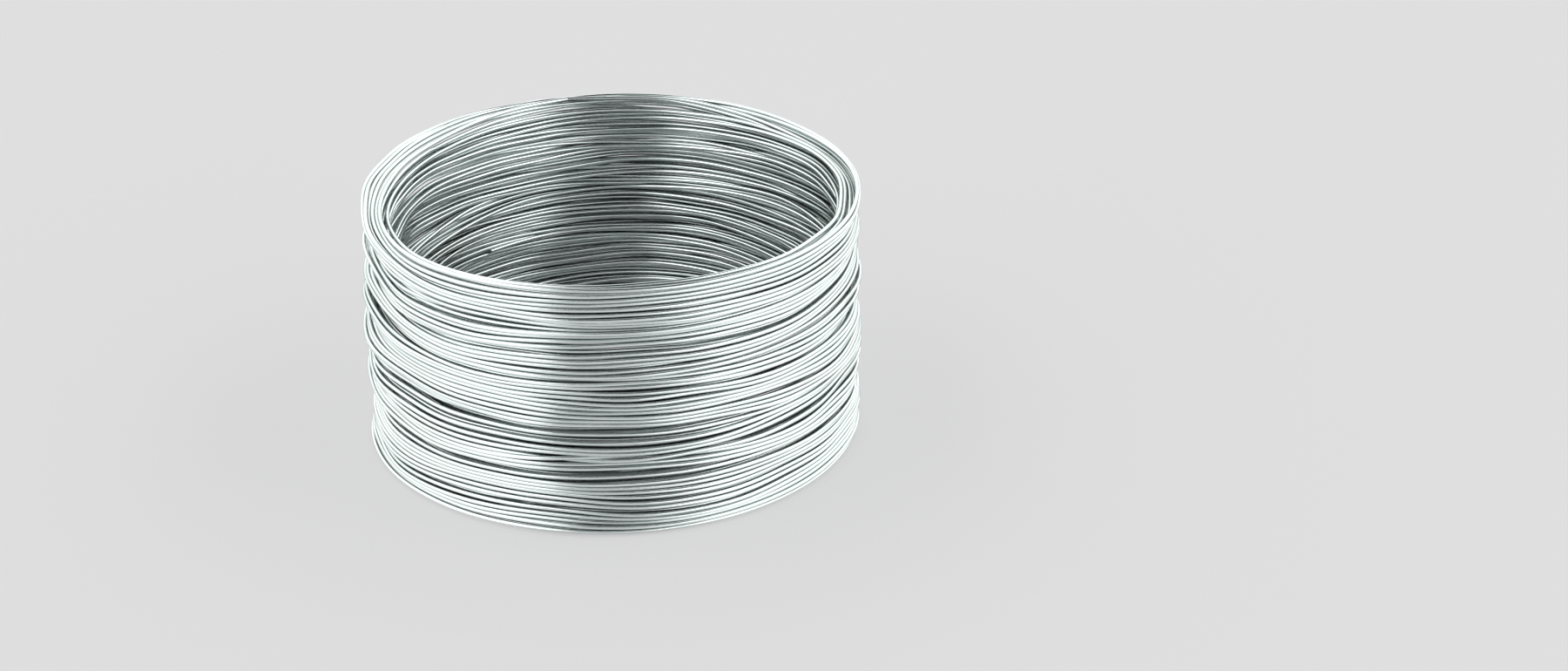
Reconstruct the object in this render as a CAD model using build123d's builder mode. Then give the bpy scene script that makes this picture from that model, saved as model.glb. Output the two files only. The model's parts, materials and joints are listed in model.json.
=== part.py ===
"""A coil of bright steel binding wire that stands on its end.

One length of wire is wound round and round into a short, wide ring with an open bore.
The ring is one turned solid, with +Z up, in millimetres. The origin is on the axis of the
bore, at the level that the coil stands on.

What is turned is the section of the winding on one side of the axis: a wall a few wires
thick and many wires tall. Up the outside, the courses of wire gather in bundles, with a
groove where one bundle ends and the next begins. Each end shows its turns side by side, as
rings with a narrow flat on top. At the top the inner turns stop lower than the outer ones,
which make the rim. The bore is plain.
"""

import os

from build123d import *

# Wire and winding
wire_diameter = 0.9
coil_diameter = 108.0
courses = 62  # turns one above the other, from the floor to the top of the coil
layers = 6  # turns side by side, from the bore to the outside

# Relief of the outside
bundle_courses = (7, 7, 7, 5, 8, 6, 6, 8, 8)  # courses in each bundle, from the floor up
bundle_groove = 1.35

# Relief of the two ends
turn_flat = 0.3  # width of the flat on top of each ring
turn_groove = 0.45
inner_layers = 3  # turns next to the bore that stop below the rim
rim_step = 1.8

coil_radius = coil_diameter / 2
coil_height = courses * wire_diameter
bore_radius = coil_radius - layers * wire_diameter


def bundle_levels():
    """Heights where one bundle ends and the next begins, from the floor to the top."""
    levels = [0.0]
    placed = 0
    while placed < courses:
        bundle = len(levels) - 1
        placed = min(placed + bundle_courses[bundle % len(bundle_courses)], courses)
        levels.append(placed * wire_diameter)
    return levels


def outside():
    """Points up the outside: the crest of each bundle, and a groove between neighbours."""
    levels = bundle_levels()
    points = []
    for low, high in zip(levels, levels[1:]):
        points.append((coil_radius, (low + high) / 2))
        points.append((coil_radius - bundle_groove, high))
    return points[:-1]


def end(faces, groove):
    """Points across an end, from the bore outwards: a flat for each turn, and grooves."""
    points = [(bore_radius, faces[0] + groove)]
    for turn, face in enumerate(faces):
        middle = bore_radius + (turn + 0.5) * wire_diameter
        points.append((middle - turn_flat / 2, face))
        points.append((middle + turn_flat / 2, face))
        points.append((middle + wire_diameter / 2, face + groove))
    return points[:-1]


top_faces = [coil_height - (rim_step if turn < inner_layers else 0) for turn in range(layers)]
bottom_end = end([0.0] * layers, turn_groove)
top_end = end(top_faces, -turn_groove)

with BuildPart() as wire_coil:
    with BuildSketch(Plane.XZ):
        with BuildLine():
            Polyline(*bottom_end, *outside(), *reversed(top_end), close=True)
        make_face()
    revolve(axis=Axis.Z)

wire_coil.part.label = "wire_coil"

os.makedirs("parts", exist_ok=True)
export_step(wire_coil.part, "parts/wire_coil.step")

print("coil", coil_diameter, "across and", coil_height, "tall, bore", 2 * bore_radius)
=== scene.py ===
# %% [markdown]
# # A coil of binding wire
#
# The object is a short, wide coil of bright steel wire that stands on its end. One thin
# wire goes round and round about a hundred and eighty times. Nothing ties it, so the turns
# lie close together on one side and fan out on the other, where you look in between them.
#
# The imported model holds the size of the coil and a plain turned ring. This script lays the
# real wire in the place of that ring, gives it its metal, and lights it on a pale floor.

# %% Tools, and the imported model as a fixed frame
import json
import math

import bpy
import numpy as np
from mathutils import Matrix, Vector

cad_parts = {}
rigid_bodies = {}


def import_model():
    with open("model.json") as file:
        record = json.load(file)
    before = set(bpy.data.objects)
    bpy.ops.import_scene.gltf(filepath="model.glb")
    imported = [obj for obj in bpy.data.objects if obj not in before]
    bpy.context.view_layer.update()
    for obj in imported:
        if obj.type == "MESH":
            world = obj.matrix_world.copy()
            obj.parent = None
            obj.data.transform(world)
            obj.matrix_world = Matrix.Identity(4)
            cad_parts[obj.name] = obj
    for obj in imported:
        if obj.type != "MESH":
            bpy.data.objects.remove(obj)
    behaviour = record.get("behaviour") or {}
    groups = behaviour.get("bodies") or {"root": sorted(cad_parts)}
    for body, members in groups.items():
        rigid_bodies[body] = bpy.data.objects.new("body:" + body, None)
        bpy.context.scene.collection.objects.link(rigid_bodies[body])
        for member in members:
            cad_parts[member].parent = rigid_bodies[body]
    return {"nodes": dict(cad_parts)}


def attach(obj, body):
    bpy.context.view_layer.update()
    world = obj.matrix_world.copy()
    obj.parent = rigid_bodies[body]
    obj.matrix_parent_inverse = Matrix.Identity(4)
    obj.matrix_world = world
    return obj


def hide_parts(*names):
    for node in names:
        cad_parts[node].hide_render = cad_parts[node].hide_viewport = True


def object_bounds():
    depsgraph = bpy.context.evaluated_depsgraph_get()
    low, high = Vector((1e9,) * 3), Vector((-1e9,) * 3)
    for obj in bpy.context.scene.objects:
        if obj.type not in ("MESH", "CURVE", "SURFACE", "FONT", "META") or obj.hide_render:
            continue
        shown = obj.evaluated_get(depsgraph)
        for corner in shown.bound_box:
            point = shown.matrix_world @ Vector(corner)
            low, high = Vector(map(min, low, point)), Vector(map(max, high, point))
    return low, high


for leftover in list(bpy.data.objects):
    bpy.data.objects.remove(leftover)

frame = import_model()
cad_low, cad_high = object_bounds()

MM = 0.001
coil_radius = (cad_high.x - cad_low.x) / 2 / MM
coil_height = (cad_high.z - cad_low.z) / MM
print("packed nodes:", ", ".join(frame["nodes"]))
print("coil, mm:", round(2 * coil_radius, 1), "across,", round(coil_height, 1), "tall")

# %% [markdown]
# ## The camera
#
# The coil is seen from a little above, from about half a metre away, and it stands left of
# the middle of a wide picture. A camera that is turned a few degrees to the right puts it
# there with no lens shift, so the perspective stays that of a real lens.

# %% Camera
SENSOR_WIDTH = 36.0  # mm
IMAGE_WIDTH = 1800  # pixels
FOCAL_PIXELS = 3058
CAMERA_DISTANCE = 578.6  # mm, to the middle of the coil
CAMERA_ELEVATION = math.radians(24.95)
CAMERA_PAN = math.radians(4.06)  # to the right of the coil
CAMERA_TILT = math.radians(-0.80)  # below the middle of the coil

aim = Vector((0, 0, coil_height / 2))
back = Vector((0, -math.cos(CAMERA_ELEVATION), math.sin(CAMERA_ELEVATION)))
dip = CAMERA_TILT - CAMERA_ELEVATION
look = Vector(
    (math.sin(CAMERA_PAN) * math.cos(dip), math.cos(CAMERA_PAN) * math.cos(dip), math.sin(dip))
)
camera_data = bpy.data.cameras.new("camera")
camera_data.sensor_width = SENSOR_WIDTH
camera_data.lens = SENSOR_WIDTH * FOCAL_PIXELS / IMAGE_WIDTH
camera_data.clip_start = 10 * MM
camera = bpy.data.objects.new("camera", camera_data)
camera.location = (aim + back * CAMERA_DISTANCE) * MM
camera.rotation_mode = "QUATERNION"
camera.rotation_quaternion = look.to_track_quat("-Z", "Y")
bpy.context.scene.collection.objects.link(camera)
bpy.context.scene.camera = camera
print("camera lens, mm:", round(camera_data.lens, 1))

# %% [markdown]
# ## How the wire was wound
#
# The wire is a single line, so its whole shape is two numbers at each step along it: how far
# it is from the axis, and how high. Both are written as smooth curves of the turn count.
#
# The winder starts part of the way up and goes down to the floor. Then the wire climbs to the
# top, comes down and climbs again, each time a layer further in, and on its last way down it
# ends part of the way up on the inside.
#
# Nothing holds the turns, so they gather in bundles: inside a bundle they touch, and between
# two bundles there is a dark gap of most of a wire's width. The two outer layers share their
# bundles, and the inner layers have their own, half a bundle higher, so that few gaps go right
# through the wall. Inside a bundle, finer gaps part groups of three to six turns.

# %% The wire and its two ends
WIRE = 0.9  # mm, diameter
STEPS = 128  # steps in one turn
START_LEVEL = 34.5  # mm, where the outer end of the wire lies
END_LEVEL = 22.8  # mm, where the inner end lies
START_ANGLE = math.radians(-121.1)  # and how far round the coil from the right
END_ANGLE = math.radians(130.4)
TOP_ANGLE = math.radians(150)  # where the wire leaves the rim for the inner layers
FLOOR_LEVEL = WIRE / 2
TOP_LEVEL = coil_height - WIRE / 2
print("the wire climbs from", FLOOR_LEVEL, "to", round(TOP_LEVEL, 2), "mm")

# %% The bundles, from the floor up, and the fine gaps inside them
OUTER_EDGES = np.array([0.0, 2.5, 6.5, 13.0, 19.5, 23.4, 31.2, 37.0, 41.8, 49.0, 56.0])  # mm
OUTER_GAPS = np.array([0.3, 0.9, 0.7, 1.1, 0.8, 1.2, 1.0, 1.3, 0.9, 0.2])  # mm, over each bundle
OUTER_REACH = np.array([2.0, 3.4, 4.2, 4.6, 3.4, 5.0, 4.0, 4.6, 5.2, 7.4])  # mm, set in at the left
OUTER_LIFT = np.array([0.0, 0.4, 1.0, 1.4, 1.0, 2.0, 1.2, 1.2, 5.2, 6.2])  # mm, raised there
INNER_EDGES = np.array([0.0, 5.0, 11.5, 18.0, 24.5, 30.5, 36.0, 41.4, 46.7, 56.0])
INNER_GAPS = np.array([0.5, 1.2, 0.8, 1.3, 0.9, 1.2, 0.8, 1.1, 0.4])
INNER_REACH = np.array([2.0, 3.6, 2.6, 4.4, 3.0, 3.8, 2.6, 3.4, 3.4])
INNER_LIFT = np.array([0.0, 0.4, 0.6, 0.4, 0.8, 0.4, 0.6, 0.6, 0.0])
OUTER = (OUTER_EDGES, OUTER_GAPS, OUTER_REACH, OUTER_LIFT)
INNER = (INNER_EDGES, INNER_GAPS, INNER_REACH, INNER_LIFT)

FINE_EDGES = np.array(
    [0, 4.4, 8.1, 11.0, 15.2, 17.9, 21.6, 25.8, 29.3, 34.0, 39.1, 44.6, 47.5, 51.4, 56]
)
FINE_GAPS = np.full(len(FINE_EDGES) - 1, 0.5)
NO_OFFSET = np.zeros(len(FINE_GAPS))
FINE = (FINE_EDGES, FINE_GAPS, NO_OFFSET, NO_OFFSET)
print("bundles:", len(OUTER_GAPS), "outside and", len(INNER_GAPS), "inside")

# %% The climb of the whole wire, layer by layer
INNER_TOP = TOP_LEVEL - 1.8  # mm, the top of the first inner layer, below the rim
LOOSE_TOP = TOP_LEVEL - 1.6  # mm, the top of the loose turns
LOOSE_PITCH = 1.5  # mm, from one loose turn to the next
LOOSEST_PITCH = 1.8
RIM_LAYER = 1  # the layer that ends in the rim
FIRST_INNER = 2
# The start, the end, the height of a turn and the bundles of each layer, from the outside in
LAYERS = (
    (START_LEVEL, FLOOR_LEVEL, WIRE, OUTER),
    (FLOOR_LEVEL, TOP_LEVEL, WIRE, OUTER),
    (INNER_TOP, FLOOR_LEVEL, WIRE, INNER),
    (FLOOR_LEVEL, LOOSE_TOP, LOOSE_PITCH, INNER),
    (LOOSE_TOP, END_LEVEL - WIRE, LOOSEST_PITCH, INNER),
)


def climb(start, stop, pitch, edges, gaps):
    """The level at each step from one level to another, with one turn to each pitch."""
    turns_up_to = np.concatenate([[0], np.cumsum((np.diff(edges) - gaps) / pitch)])
    first, last = np.interp([start, stop], edges, turns_up_to)
    steps = round(abs(last - first) * STEPS)
    return np.interp(np.linspace(first, last, steps), turns_up_to, edges)


def steps_round_to(wanted, steps_so_far):
    """The number of steps on to the next place with this angle."""
    return round((wanted - START_ANGLE) / (2 * math.pi) % 1 * STEPS - steps_so_far) % STEPS


levels = []
layers = []
for number, (start, stop, pitch, (edges, gaps, _, _)) in enumerate(LAYERS):
    part = climb(start, stop, pitch, edges, gaps)
    if number == RIM_LAYER:
        flat_part = steps_round_to(TOP_ANGLE, sum(map(len, levels)) + len(part))
        part = np.concatenate([part, np.full(flat_part, TOP_LEVEL)])
    if number == len(LAYERS) - 1:
        last_step = sum(map(len, levels)) + len(part)
        last_step += steps_round_to(END_ANGLE, last_step) - STEPS
        part = np.concatenate([part, np.full(STEPS, stop)])
    levels.append(part)
    layers.append(np.full(len(part), number))

turns = sum(map(len, levels)) // STEPS
count = turns * STEPS
level = np.concatenate(levels)[:count]
layer = np.concatenate(layers)[:count]
turn = np.arange(count) / STEPS
angle = START_ANGLE + 2 * math.pi * turn
print("turns:", turns, "with", count, "steps")

# %% [markdown]
# ## Gaps and fans
#
# The gap between two bundles isn't level. It sways up and down as it goes round, so here and
# there a turn crosses from one bundle to the next, and the gap ends in a long, thin wedge. It
# is wider on one side of the coil than on the other.
#
# In a bundle each turn is a little smaller than the one under it. All of them touch the outside
# on the right, and on the left they stand in by more and more. There the bundle also lies
# flatter: turns that are stacked upright at the front lie side by side at the left, like a
# hand of cards.
#
# No turn is a perfect circle. Neighbouring turns share shallow waves, and the innermost turns
# are loose: each one tilts its own way and crosses the others at a small angle.

# %% Random curves along the wire
SEED = 3
ABOVE_COIL = 60  # mm, a level that no turn reaches
random = np.random.default_rng(SEED)


def wander(turns_between):
    """A smooth random curve along the wire, from -1 to 1, with a new value every few turns."""
    place = turn / turns_between
    values = random.uniform(-1, 1, int(place[-1]) + 2)
    whole = place.astype(int)
    part = place - whole
    ease = part * part * (3 - 2 * part)
    return values[whole] * (1 - ease) + values[whole + 1] * ease


def soften(values, turns_wide):
    """The same curve with its steps rounded over some turns."""
    half = int(turns_wide * STEPS / 2)
    padded = np.pad(values, half, mode="edge")
    kernel = np.ones(2 * half + 1) / (2 * half + 1)
    return np.convolve(padded, kernel, "valid")


def ripple(first, last, knot_gap):
    """Waves round the coil that neighbouring turns share, and that change with the level."""
    knots = np.arange(0, ABOVE_COIL, knot_gap)
    total = np.zeros(count)
    for number in range(first, last + 1):
        for wave in (np.sin, np.cos):
            strengths = np.interp(level, knots, random.uniform(-1, 1, len(knots)))
            total += strengths * wave(number * angle)
    return total / total.std()


print("random curves start from seed", SEED)

# %% Where each step lies in its bundle
SWAY = 0.8  # mm, how far the gap between two bundles goes up and down
SECOND_SWAY = 0.7  # share of it that comes twice round the coil
GAP_CHANGE = 0.6  # share of a gap's width that comes and goes round the coil
ANY_PHASE = 7  # radians, a little more than once round


def bundles(edges, gaps, reach, lift):
    """The height of each step, and how far it is set in and raised on the open side."""
    sways = random.uniform(-1, 1, (4, len(edges), 1))
    edges = edges[:, None] + SWAY * (
        sways[0] * np.sin(angle)
        + sways[1] * np.cos(angle)
        + SECOND_SWAY * sways[2] * np.sin(2 * angle)
        + SECOND_SWAY * sways[3] * np.cos(2 * angle)
    )
    waves = 1.0
    for number in (1, 2, 3):
        phases = random.uniform(0, ANY_PHASE, (len(gaps), 1))
        waves = waves + GAP_CHANGE * np.sin(number * angle + phases)
    gaps = gaps[:, None] * np.clip(waves, 0, None)
    which = (level >= edges[1:-1]).sum(axis=0)
    steps = np.arange(count)
    rise = (level - edges[which, steps]) / (edges[which + 1, steps] - edges[which, steps])
    return level - gaps[which, steps] * (rise - 0.5), reach[which] * rise, lift[which] * (1 - rise)


height, set_in, lift = np.where(layer >= FIRST_INNER, bundles(*INNER), bundles(*OUTER))
height = height + bundles(*FINE)[0] - level
print("gaps move the turns by up to", round(float(abs(height - level).max()), 2), "mm")

# %% How far in each turn stands on the open side
BEHIND = 1.15  # mm, from one layer to the next one behind it
SHARE_OF_REACH = np.array([0.5, 1.0, 1.0, 0.8, 1.0])  # for each layer
SHARE_OF_OPEN = np.array([0, 0, 1.0, 0.6, 1.1])
INNER_OPEN = np.interp(level, [0, 40, 50, 56], [1.0, 2.0, 3.4, 4.2])  # mm more, by the level
UNEVEN_REACH = 0.5  # mm
COVERED_BELOW = START_LEVEL + 1  # mm, where the first layer lies over the second

covered = level < COVERED_BELOW
depth = BEHIND * np.maximum(layer - np.where(covered, 0, 1), 0)
set_in = set_in * SHARE_OF_REACH[layer] + INNER_OPEN * SHARE_OF_OPEN[layer]
set_in = soften(set_in, turns_wide=0.7) + UNEVEN_REACH * wander(turns_between=1.3)
lift = soften(lift, turns_wide=0.7)
height = soften(height, turns_wide=0.3)
depth = soften(depth, turns_wide=1.5)
print("turns set in by up to", round(float((depth + set_in).max()), 1), "mm on the open side")

# %% The open side, and the small faults of each turn
FAN_AT = 160  # degrees round the coil, where the turns fan out most
FAN_DRIFT = 12  # degrees, how much that changes along the wire
FLAT_AT = 135  # degrees, where the bundles lie flattest
FLAT_DRIFT = 10
TILT = 1.2  # mm, up and down, for a few turns together
STAND_IN = 0.25  # mm, inwards, for most of a turn
TREMBLE = 0.12  # mm, inwards, for some degrees
LEVEL_TREMBLE = 0.06  # mm, up and down, for some degrees
LONG_WAVES = 0.35  # mm, three to six waves round the coil, in and out
LONG_WAVES_ROOM = 0.3  # mm, inwards, so that the waves stay inside the outline
SHORT_WAVES = 0.12  # mm, eight to fifteen waves, in and out
LEVEL_WAVES = 0.3  # mm, two to four waves, up and down
UNEVEN = np.array([0.25, 0.25, 0.25, 0.6, 0.8])  # mm, up and down, for each layer
LOOSE = np.array([0, 0, 0, 1.3, 2.0])  # mm, each turn's own tilt, for each layer
END_RANGE = 4  # mm, over which the faults fade towards the floor and the rim


def near(middle, half_width, edge):
    """1 within some degrees of a direction, easing to 0 over a further stretch."""
    away = np.abs((np.degrees(angle) - middle + 180) % 360 - 180)
    part = np.clip((half_width + edge - away) / edge, 0, 1)
    return part * part * (3 - 2 * part)


at_an_end = np.clip(np.minimum(level, coil_height - level) / END_RANGE, 0, 1)
fan = near(FAN_AT + FAN_DRIFT * wander(turns_between=8), half_width=11, edge=60)
flat = near(FLAT_AT + FLAT_DRIFT * wander(turns_between=8), half_width=45, edge=60)
tilt = TILT * wander(4.5) * np.cos(angle) + TILT * wander(4.5) * np.sin(angle)

radius = coil_radius - WIRE / 2 - depth - set_in * fan
radius = radius - (STAND_IN * (1 + wander(0.8)) + TREMBLE * (1 + wander(0.05))) * at_an_end
radius = radius + (LONG_WAVES * ripple(3, 6, knot_gap=4.0) - LONG_WAVES_ROOM) * at_an_end
uneven = UNEVEN[layer] * wander(0.6)
uneven = uneven + LEVEL_WAVES * ripple(2, 4, knot_gap=4.0)
height = height + lift * flat + (tilt + uneven) * at_an_end + LEVEL_TREMBLE * wander(0.05)
radius = radius + SHORT_WAVES * ripple(8, 15, knot_gap=3.0) * at_an_end
loose = LOOSE[layer] * at_an_end
height = height + loose * (wander(1.7) * np.cos(angle) + wander(1.7) * np.sin(angle))
print("nearest to the axis, before the push, mm:", round(float(radius.min()), 1))

# %% [markdown]
# ## Making room for each turn
#
# Those curves run through each other, and real wire can't. In one cut through the wall of
# the coil, each turn is a disc, and discs that overlap push each other away. Steel is stiff,
# so a push isn't a kink: it is smoothed along the wire, which carries it on round the coil.
# A few hundred rounds of pushing and smoothing settle the turns side by side.

# %% Push the turns apart in every cut, and smooth the push along the wire
ROUNDS = 500
LAST_ROUNDS = 30  # with less smoothing, to finish
SMOOTHINGS = 6
LAST_SMOOTHINGS = 2
NEIGHBOURS = 12
TOUCHING = WIRE * 1.01
PUSH = 0.7  # share of an overlap that one round takes away
SPRING_BACK = 0.997  # share of the push that the steel keeps from round to round
DEEPEST = 9.0  # mm, how far in from the outside a turn may lie
TINY = 1e-9

wanted = np.stack([radius, height], axis=-1)
lowest = np.array([coil_radius - DEEPEST, WIRE / 2])
highest = np.array([coil_radius - WIRE / 2, coil_height - WIRE / 2])


def push_apart(places):
    """One round of pushes between the turns that are next to each other in height."""
    cuts = places.reshape(turns, STEPS, 2)
    order = np.argsort(cuts[:, :, 1], axis=0)[:, :, None]
    stacked = np.take_along_axis(cuts, order, axis=0)
    moves = np.zeros_like(stacked)
    for step in range(1, NEIGHBOURS + 1):
        apart = stacked[step:] - stacked[:-step]
        distance = np.sqrt((apart**2).sum(-1, keepdims=True)) + TINY
        push = apart / distance * np.clip(TOUCHING - distance, 0, None) / 2
        moves[step:] += push
        moves[:-step] -= push
    back_in_turn = np.zeros_like(cuts)
    np.put_along_axis(back_in_turn, np.repeat(order, 2, axis=2), moves * PUSH, axis=0)
    return places + back_in_turn.reshape(count, 2)


places = wanted.copy()
for number in range(ROUNDS):
    shift = (push_apart(places) - wanted) * SPRING_BACK
    for _ in range(SMOOTHINGS if number < ROUNDS - LAST_ROUNDS else LAST_SMOOTHINGS):
        shift[1:-1] = (shift[:-2] + 2 * shift[1:-1] + shift[2:]) / 4
    places = np.clip(wanted + shift, lowest, highest)

route = np.column_stack(
    [places[:, 0] * np.cos(angle), places[:, 0] * np.sin(angle), places[:, 1]]
) * MM
route = route[:last_step]
step_lengths = np.linalg.norm(np.diff(route, axis=0), axis=1)
print("wire length, m:", round(float(step_lengths.sum()), 2))

# %% [markdown]
# ## From a line to a wire
#
# A wire is a circle swept along a path, which is what Curve to Mesh does in Geometry Nodes.
# The tree has the diameter and the number of sides as inputs. It also writes on the surface
# how far along the wire each point is, in metres, and how far round, so that the metal can
# have marks that follow the wire wherever it bends.
#
# All trees, for meshes, metal and light, are built with one small function. It adds a node,
# and feeds its sockets from numbers, from other sockets, or from the first output of a node.

# %% One function for all node trees
def add_node(tree, kind, links=None, **settings):
    """Add a node, set its properties, and feed its sockets from values or other nodes."""
    node = tree.nodes.new(kind)
    for name, value in settings.items():
        setattr(node, name, value)
    for key, value in (links or {}).items():
        if isinstance(value, bpy.types.Node):
            value = value.outputs[0]
        if isinstance(value, bpy.types.NodeSocket):
            tree.links.new(value, node.inputs[key])
        else:
            node.inputs[key].default_value = value
    return node


# %% The Geometry Nodes tree that sweeps the wire
CORNERS_OF_A_SIDE = 4  # the sides are shaded smooth, and the two flat ends have more corners


def wire_tree():
    """Sweep a round wire along the edges of a mesh."""
    tree = bpy.data.node_groups.new("sweep_wire", "GeometryNodeTree")
    sockets = tree.interface
    sockets.new_socket("Geometry", in_out="INPUT", socket_type="NodeSocketGeometry")
    for name, kind in (
        ("Wire diameter", "NodeSocketFloat"),
        ("Sides", "NodeSocketInt"),
        ("Length before", "NodeSocketFloat"),
        ("Metal", "NodeSocketMaterial"),
    ):
        sockets.new_socket(name, in_out="INPUT", socket_type=kind)
    sockets.new_socket("Geometry", in_out="OUTPUT", socket_type="NodeSocketGeometry")

    inputs = add_node(tree, "NodeGroupInput").outputs
    line = add_node(tree, "GeometryNodeMeshToCurve", {"Mesh": inputs["Geometry"]})
    steady = add_node(tree, "GeometryNodeSetCurveNormal", {"Curve": line}, mode="Z_UP")
    place = add_node(tree, "GeometryNodeSplineParameter").outputs
    total = add_node(
        tree, "ShaderNodeMath", {0: place["Length"], 1: inputs["Length before"]}, operation="ADD"
    )
    kept_length = add_node(
        tree,
        "GeometryNodeStoreNamedAttribute",
        {"Geometry": steady, "Name": "along", "Value": total},
        data_type="FLOAT",
        domain="POINT",
    )
    half = add_node(
        tree, "ShaderNodeMath", {0: inputs["Wire diameter"], 1: 0.5}, operation="MULTIPLY"
    )
    circle = add_node(
        tree, "GeometryNodeCurvePrimitiveCircle", {"Resolution": inputs["Sides"], "Radius": half}
    )
    way_round = add_node(tree, "GeometryNodeSplineParameter").outputs["Factor"]
    kept_round = add_node(
        tree,
        "GeometryNodeStoreNamedAttribute",
        {"Geometry": circle, "Name": "around", "Value": way_round},
        data_type="FLOAT",
        domain="POINT",
    )
    swept = add_node(
        tree,
        "GeometryNodeCurveToMesh",
        {"Curve": kept_length, "Profile Curve": kept_round, "Fill Caps": True},
    )
    corners = add_node(tree, "GeometryNodeInputMeshFaceNeighbors").outputs["Vertex Count"]
    sides = add_node(
        tree,
        "FunctionNodeCompare",
        {2: corners, 3: CORNERS_OF_A_SIDE},
        data_type="INT",
        operation="LESS_EQUAL",
    )
    smooth = add_node(tree, "GeometryNodeSetShadeSmooth", {"Geometry": swept, "Selection": sides})
    real = add_node(tree, "GeometryNodeRealizeInstances", {"Geometry": smooth})
    coated = add_node(
        tree, "GeometryNodeSetMaterial", {"Geometry": real, "Material": inputs["Metal"]}
    )
    add_node(tree, "NodeGroupOutput", {"Geometry": coated})
    return tree


sweep = wire_tree()
print("nodes in the tree:", len(sweep.nodes))

# %% [markdown]
# ## The metal
#
# Binding wire is soft steel, drawn through a die and dipped in zinc. The die leaves fine
# lines along the wire, and the zinc gives it a bright, faintly cool shine that varies a
# little from place to place. So the metal is nearly a mirror, with long streaks in its
# roughness and small changes of tone. Where turns lie close together, shade is painted
# into the metal's colour, so the gaps between them come out darker.

# %% Colours, and a material to start from
def hex_colour(code):
    """An sRGB hex code as linear red, green, blue and full alpha."""
    values = [int(code[place : place + 2], 16) / 255 for place in (1, 3, 5)]
    linear = [v / 12.92 if v <= 0.04045 else ((v + 0.055) / 1.055) ** 2.4 for v in values]
    return (*linear, 1.0)


def new_material(name):
    """A node material, its tree and its shader."""
    material = bpy.data.materials.new(name)
    material.use_nodes = True
    return material, material.node_tree, material.node_tree.nodes["Principled BSDF"]


print("a half grey is", round(hex_colour("#808080")[0], 3), "in linear light")

# %% Galvanised wire
ZINC_DULL = hex_colour("#D3DEDC")
ZINC_BRIGHT = hex_colour("#F6FCFB")
ZINC_EDGE = hex_colour("#CACECC")  # at a grazing angle
TONES = (25.0, 1.5, 1.0)  # patches in a metre of wire, each 40 mm long, and round the wire
STREAKS = (60.0, 14.0, 1.0)  # die lines: 17 mm long and 0.2 mm wide, coarse enough to show
SMOOTHEST = 0.16  # roughness between the die lines
ROUGHEST = 0.3
# Painted shade between close turns: the distance within which it falls, and the darkest share of
# the colour it leaves
PAINTED_SHADE_WITHIN = 2.0  # mm, how near the other turns are where shade is painted into the metal's colour
PAINTED_SHADE_TONE = 0.3


def galvanised_wire():
    """Zinc-coated steel wire with the die's lines along it."""
    material, tree, shader = new_material("galvanised_wire")
    shader.inputs["Metallic"].default_value = 1.0
    shader.inputs["Specular Tint"].default_value = ZINC_EDGE
    along = add_node(tree, "ShaderNodeAttribute", attribute_name="along").outputs["Fac"]
    around = add_node(tree, "ShaderNodeAttribute", attribute_name="around").outputs["Fac"]
    where = add_node(tree, "ShaderNodeCombineXYZ", {"X": along, "Y": around})

    stretched = add_node(tree, "ShaderNodeMapping", {"Vector": where, "Scale": TONES})
    patches = add_node(
        tree, "ShaderNodeTexNoise", {"Vector": stretched, "Scale": 1.0, "Detail": 3.0}
    )
    tone = add_node(tree, "ShaderNodeValToRGB", {"Fac": patches.outputs["Fac"]})
    stops = ((0.3, ZINC_DULL), (0.65, ZINC_BRIGHT))
    for stop, (position, colour) in zip(tone.color_ramp.elements, stops):
        stop.position = position
        stop.color = colour
    # Painted shade: ambient occlusion darkens the metal's colour in the gaps between close turns
    openness = add_node(
        tree, "ShaderNodeAmbientOcclusion", {"Distance": PAINTED_SHADE_WITHIN * MM}, samples=2
    ).outputs["AO"]
    painted_shade = add_node(
        tree,
        "ShaderNodeMapRange",
        {"Value": openness, "From Min": 0.1, "From Max": 0.55, "To Min": PAINTED_SHADE_TONE},
    )
    shade = add_node(
        tree, "ShaderNodeVectorMath", {0: tone, "Scale": painted_shade}, operation="SCALE"
    )
    tree.links.new(shade.outputs["Vector"], shader.inputs["Base Color"])

    lines = add_node(tree, "ShaderNodeMapping", {"Vector": where, "Scale": STREAKS})
    streaks = add_node(
        tree, "ShaderNodeTexNoise", {"Vector": lines, "Scale": 1.0, "Detail": 2.0}
    )
    rough = add_node(
        tree,
        "ShaderNodeMapRange",
        {"Value": streaks.outputs["Fac"], "To Min": SMOOTHEST, "To Max": ROUGHEST},
    )
    tree.links.new(rough.outputs["Result"], shader.inputs["Roughness"])
    return material


wire_metal = galvanised_wire()
print("metal:", wire_metal.name)

# %% [markdown]
# ## Laying the wire
#
# Fifty-seven metres of wire are a lot of small faces, so the sweep is done in four lengths,
# each of which ends flat, against the start of the next. Twelve sides are enough to look round
# at this size. Each length starts as a mesh of loose edges along the route, and becomes a plain
# mesh before it is handed over, because the exported model can't carry a live tree.

# %% Lay the wire in pieces
SIDES = 12
PIECES = 4


def path_object(name, points):
    """A mesh of loose edges through the points."""
    mesh = bpy.data.meshes.new(name)
    edges = [(number, number + 1) for number in range(len(points) - 1)]
    mesh.from_pydata(points.tolist(), edges, [])
    path = bpy.data.objects.new(name, mesh)
    bpy.context.scene.collection.objects.link(path)
    return path


def set_inputs(modifier, values):
    """Set a tree's inputs by the identifiers of their sockets."""
    for item in modifier.node_group.interface.items_tree:
        if item.in_out == "INPUT" and item.name in values:
            modifier[item.identifier] = values[item.name]


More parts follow.
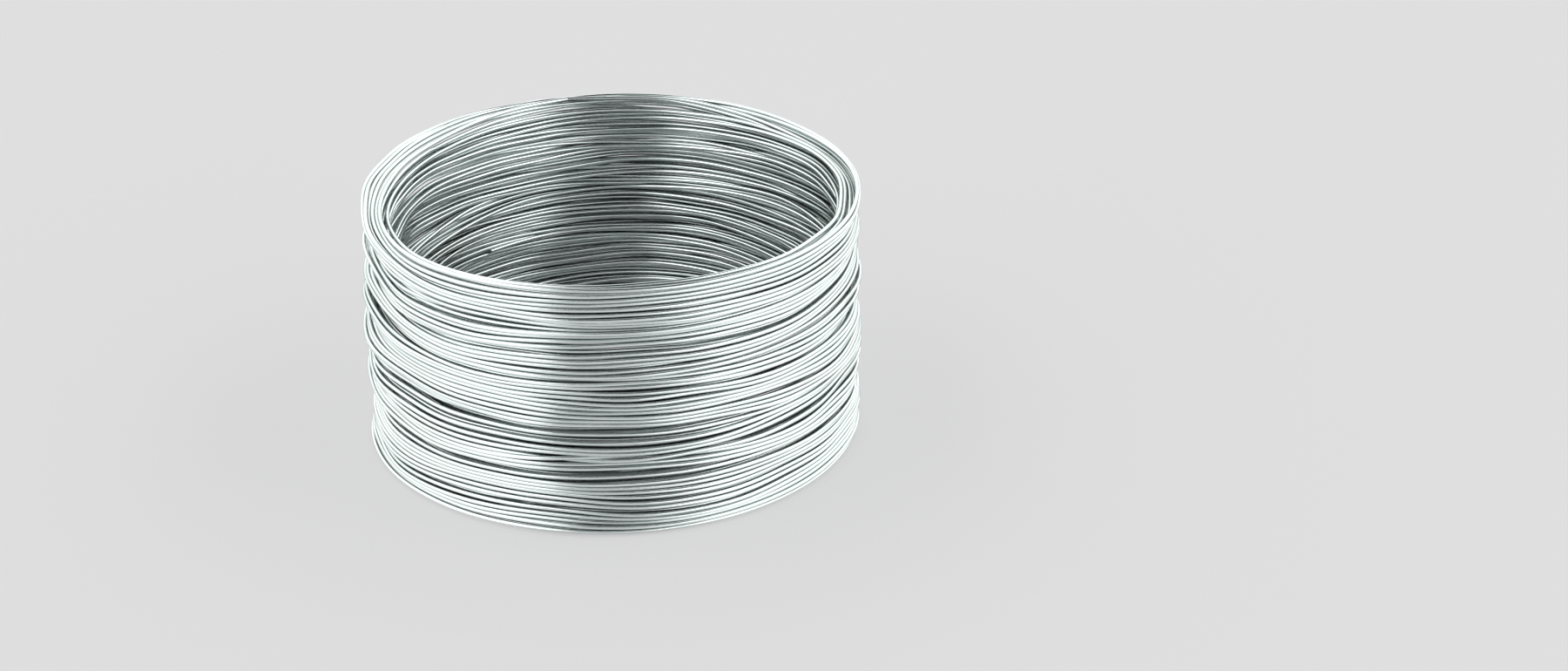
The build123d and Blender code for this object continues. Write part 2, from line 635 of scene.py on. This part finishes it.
def swept_wire(name, first, last):
    """The stretch of the wire between two steps, as a plain mesh."""
    path = path_object(name, route[first : last + 1])
    modifier = path.modifiers.new("sweep", "NODES")
    modifier.node_group = sweep
    set_inputs(
        modifier,
        {
            "Wire diameter": WIRE * MM,
            "Sides": SIDES,
            "Length before": float(step_lengths[:first].sum()),
            "Metal": wire_metal,
        },
    )
    made = path.evaluated_get(bpy.context.evaluated_depsgraph_get())
    mesh = bpy.data.meshes.new_from_object(made)
    path.modifiers.remove(modifier)
    path.data = mesh
    mesh.name = name
    return path


cuts = np.linspace(0, len(route) - 1, PIECES + 1).astype(int)
for number, (first, last) in enumerate(zip(cuts, cuts[1:]), start=1):
    name = f"wire_length_{number}"
    piece = swept_wire(name, first, last)
    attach(piece, "root")
    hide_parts("wire_coil")
    triangles = sum(len(face.vertices) - 2 for face in piece.data.polygons)
    print(name, "triangles:", triangles)

# %% [markdown]
# ## The studio
#
# Metal shows what is around it, so the studio is shapes before it is brightness. It is a
# light tent, white all round and overhead, with one dark slot behind the camera. The slot
# rises to the top of the tent and leans to the right. The wires show it as a darker band down
# the middle, outside and inside. One soft lamp stands in the slot, a little higher than the
# camera, and draws a pale line along each wire of the band.
#
# The floor is pale, and its colour makes the picture's background. To the metal it is white
# left and right of the coil and grey in front, as it would be in such a tent.

# %% Floor
FLOOR_RADIUS = 12.0  # m
FLOOR_GREY = hex_colour("#DEDEDE")
FLOOR_GLOW = 0.7  # share of its colour that the floor gives out to the camera
IN_METAL_SIDES = 1.0  # how bright the metal shows the floor left and right of the coil
IN_METAL_MIDDLE = 0.65  # and in front of it and behind it
BORE_EDGE = 4.0  # mm, across the wall of the coil, inside which the floor isn't white
EASE = {"interpolation_type": "SMOOTHSTEP"}


def pale_floor():
    """Pale backdrop paper, uncoated and so matt. To the metal it is white at the sides."""
    material, tree, shader = new_material("pale_matt_floor")
    shader.inputs["Roughness"].default_value = 0.9
    shader.inputs["Specular IOR Level"].default_value = 0.1
    shader.inputs["Base Color"].default_value = FLOOR_GREY
    rays = add_node(tree, "ShaderNodeLightPath").outputs
    place = add_node(tree, "ShaderNodeTexCoord").outputs["Object"]
    distance = add_node(
        tree, "ShaderNodeVectorMath", {0: place}, operation="LENGTH"
    ).outputs["Value"]

    across = add_node(tree, "ShaderNodeSeparateXYZ", {"Vector": place}).outputs["X"]
    either_side = add_node(tree, "ShaderNodeMath", {0: across}, operation="ABSOLUTE")
    sideways = add_node(
        tree, "ShaderNodeMath", {0: either_side, 1: distance}, operation="DIVIDE"
    )
    limits = {"From Min": 0.2, "From Max": 0.5, "To Min": IN_METAL_MIDDLE, "To Max": IN_METAL_SIDES}
    whiteness = add_node(tree, "ShaderNodeMapRange", {"Value": sideways, **limits}, **EASE)

    eye_glow = add_node(tree, "ShaderNodeEmission", {"Color": FLOOR_GREY})
    eye_share = add_node(
        tree, "ShaderNodeMath", {0: rays["Is Camera Ray"], 1: FLOOR_GLOW}, operation="MULTIPLY"
    )
    to_the_eye = add_node(tree, "ShaderNodeMixShader", {0: eye_share, 1: shader, 2: eye_glow})

    metal_glow = add_node(tree, "ShaderNodeEmission", {"Strength": whiteness})
    limits = {"From Min": (coil_radius - BORE_EDGE) * MM, "From Max": coil_radius * MM}
    outside_bore = add_node(tree, "ShaderNodeMapRange", {"Value": distance, **limits}, **EASE)
    metal_share = add_node(
        tree, "ShaderNodeMath", {0: rays["Is Glossy Ray"], 1: outside_bore}, operation="MULTIPLY"
    )
    surface = add_node(
        tree, "ShaderNodeMixShader", {0: metal_share, 1: to_the_eye, 2: metal_glow}
    )
    tree.links.new(surface.outputs[0], tree.nodes["Material Output"].inputs["Surface"])
    return material


bpy.ops.mesh.primitive_circle_add(vertices=96, radius=FLOOR_RADIUS, fill_type="NGON")
floor = bpy.context.object
floor.name = "floor"
floor.data.materials.append(pale_floor())
print("floor, m across:", 2 * FLOOR_RADIUS)

# %% The lamp in the slot
LAMP_PLACE = Vector((0, -1.68, 1.09))  # m
LAMP_TARGET = Vector((0, 0, 0.03))
LAMP_ACROSS = 1.6  # m
LAMP_UPRIGHT = 0.35
LAMP_RADIANCE = 1.6  # how bright its face looks, where 1 is white

lamp_data = bpy.data.lights.new("front_lamp", "AREA")
lamp_data.shape = "RECTANGLE"
lamp_data.size = LAMP_ACROSS
lamp_data.size_y = LAMP_UPRIGHT
lamp_data.energy = LAMP_RADIANCE * math.pi * LAMP_ACROSS * LAMP_UPRIGHT
lamp = bpy.data.objects.new("front_lamp", lamp_data)
lamp.location = LAMP_PLACE
lamp.rotation_mode = "QUATERNION"
lamp.rotation_quaternion = (LAMP_TARGET - LAMP_PLACE).to_track_quat("-Z", "Y")
bpy.context.scene.collection.objects.link(lamp)
print("lamp, W:", round(lamp_data.energy, 2))

# %% [markdown]
# ## The walls of the tent
#
# The walls are the world, and their brightness depends only on the direction. They are
# brighter in front, on the right and overhead. The slot is a stretch of directions in front,
# near X = 0, where the wall is left out. As it rises, it moves to the right and gets a little
# wider. Towards the zenith all directions crowd together, so X and Y are divided by a length
# that shrinks on the way up. Low down, a little light is added everywhere, and in the slot too.

# %% World: the directions in the tent
CROWDING = 0.3  # how much the length has shrunk at the zenith, as a share of its square

world = bpy.data.worlds.new("light_tent")
world.use_nodes = True
tent = world.node_tree
direction = add_node(tent, "ShaderNodeTexCoord").outputs["Generated"]
x, y, z = add_node(tent, "ShaderNodeSeparateXYZ", {"Vector": direction}).outputs

steepness = add_node(tent, "ShaderNodeMath", {0: z, 1: z}, operation="MULTIPLY")
room = add_node(
    tent, "ShaderNodeMath", {0: steepness, 1: -CROWDING, 2: 1.0}, operation="MULTIPLY_ADD"
)
narrowing = add_node(tent, "ShaderNodeMath", {0: room}, operation="SQRT")
backward = add_node(tent, "ShaderNodeMath", {0: y, 1: narrowing}, operation="DIVIDE")
rightward = add_node(tent, "ShaderNodeMath", {0: x, 1: narrowing}, operation="DIVIDE")
print("nodes for the directions:", len(tent.nodes))

# %% The slot
SLOT_LEFT = 0.16  # how far left of the middle it starts, in parts of a direction of length 1
SLOT_LEAN = 0.25  # how far it has moved to the right at its top
SLOT_WIDER = 0.14  # and the share by which it is wider there
SLOT_RISE = {"From Min": 0.1, "From Max": 0.6}  # the heights between which it moves
SLOT_EDGE = {"From Min": 0.33, "From Max": 0.43}  # half its width, inside and outside its edge

limits = {**SLOT_RISE, "To Min": SLOT_LEFT, "To Max": SLOT_LEFT - SLOT_LEAN}
lean = add_node(tent, "ShaderNodeMapRange", {"Value": z, **limits}, **EASE)
limits = {**SLOT_RISE, "To Min": 1.0, "To Max": 1.0 + SLOT_WIDER}
widening = add_node(tent, "ShaderNodeMapRange", {"Value": z, **limits}, **EASE)
across = add_node(tent, "ShaderNodeMath", {0: x, 1: lean}, operation="ADD")
from_slot = add_node(tent, "ShaderNodeMath", {0: across}, operation="ABSOLUTE")
sideways = add_node(tent, "ShaderNodeMath", {0: from_slot, 1: widening}, operation="DIVIDE")
beside = add_node(tent, "ShaderNodeMapRange", {"Value": sideways, **SLOT_EDGE}, **EASE)
limits = {"From Min": 0.5, "From Max": 0.9}
behind = add_node(tent, "ShaderNodeMapRange", {"Value": backward, **limits}, **EASE)
wall = add_node(tent, "ShaderNodeMath", {0: beside, 1: behind}, operation="MAXIMUM")
print("nodes with the slot:", len(tent.nodes))

# %% The brightness of the walls
WALL_BRIGHT = 1.27
ROOF_BRIGHT = 1.72
FRONT_BRIGHTER = 0.25
RIGHT_BRIGHTER = 0.25
LOW_BRIGHTER = 0.3  # at the horizon, in the slot too

limits = {"From Min": 0.0, "From Max": -0.5, "To Max": FRONT_BRIGHTER}
nearer = add_node(tent, "ShaderNodeMapRange", {"Value": backward, **limits}, **EASE)
limits = {"From Min": 0.0, "From Max": 0.5, "To Max": RIGHT_BRIGHTER}
right = add_node(tent, "ShaderNodeMapRange", {"Value": rightward, **limits}, **EASE)
limits = {"From Min": 0.3, "From Max": 0.7, "To Min": WALL_BRIGHT, "To Max": ROOF_BRIGHT}
overhead = add_node(tent, "ShaderNodeMapRange", {"Value": z, **limits}, **EASE)
brightness = add_node(tent, "ShaderNodeMath", {0: nearer, 1: right}, operation="ADD")
brightness = add_node(tent, "ShaderNodeMath", {0: brightness, 1: overhead}, operation="ADD")
limits = {"From Min": 0.75, "From Max": 0.0, "To Max": LOW_BRIGHTER}
lower = add_node(tent, "ShaderNodeMapRange", {"Value": z, **limits}, **EASE)
strength = add_node(
    tent, "ShaderNodeMath", {0: wall, 1: brightness, 2: lower}, operation="MULTIPLY_ADD"
)
tent.links.new(strength.outputs[0], tent.nodes["Background"].inputs["Strength"])
tent.nodes["Background"].inputs["Color"].default_value = hex_colour("#FFFFFF")
bpy.context.scene.world = world
bpy.context.scene.view_settings.view_transform = "Standard"
print("nodes in the tent:", len(tent.nodes))
